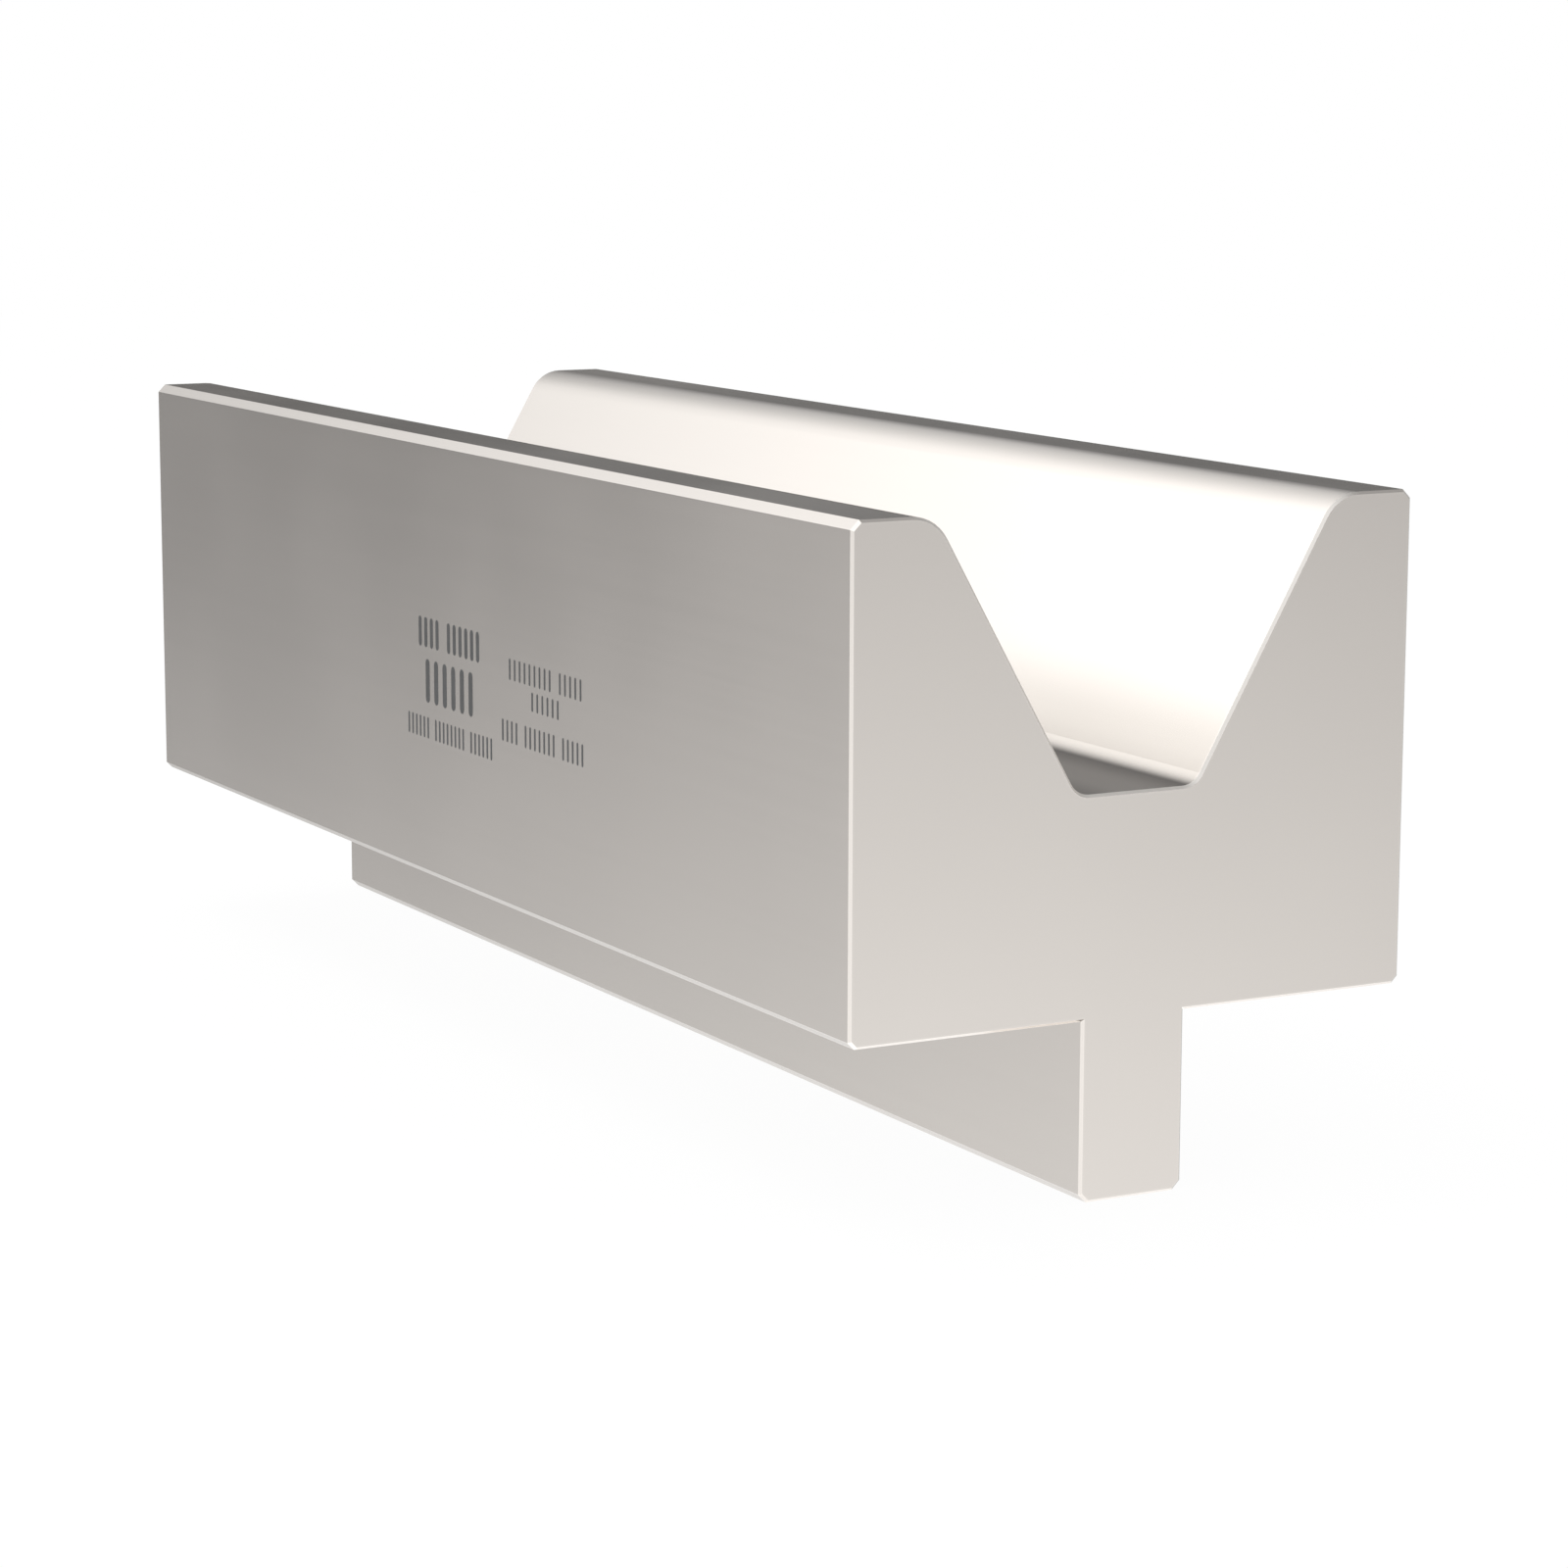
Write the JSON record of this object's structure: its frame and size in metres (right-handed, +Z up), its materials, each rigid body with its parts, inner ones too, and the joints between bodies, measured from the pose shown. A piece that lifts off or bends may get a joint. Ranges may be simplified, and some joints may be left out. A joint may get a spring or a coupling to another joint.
{
  "type": "press brake v die",
  "caption": "Straight steel lower tool for a press brake: a flat-floored V groove with rounded shoulders along its top, and a plain square tang along its underside.",
  "frame": {"origin": "the middle of the seat plane, the flat underside of the body from which the tang stands down: the body is above it and the tang below it", "axes": "+X along the bar and the groove, +Y across the bar, +Z up from the seat towards the lands"},
  "size_m": [0.2, 0.07, 0.075],
  "materials": {
    "tool_steel": "ground tool steel, satin, with fine grinding lines along the bar and bright broken edges"
  },
  "bodies": {
    "root": {"v_die": "tool_steel"}
  },
  "joints": []
}
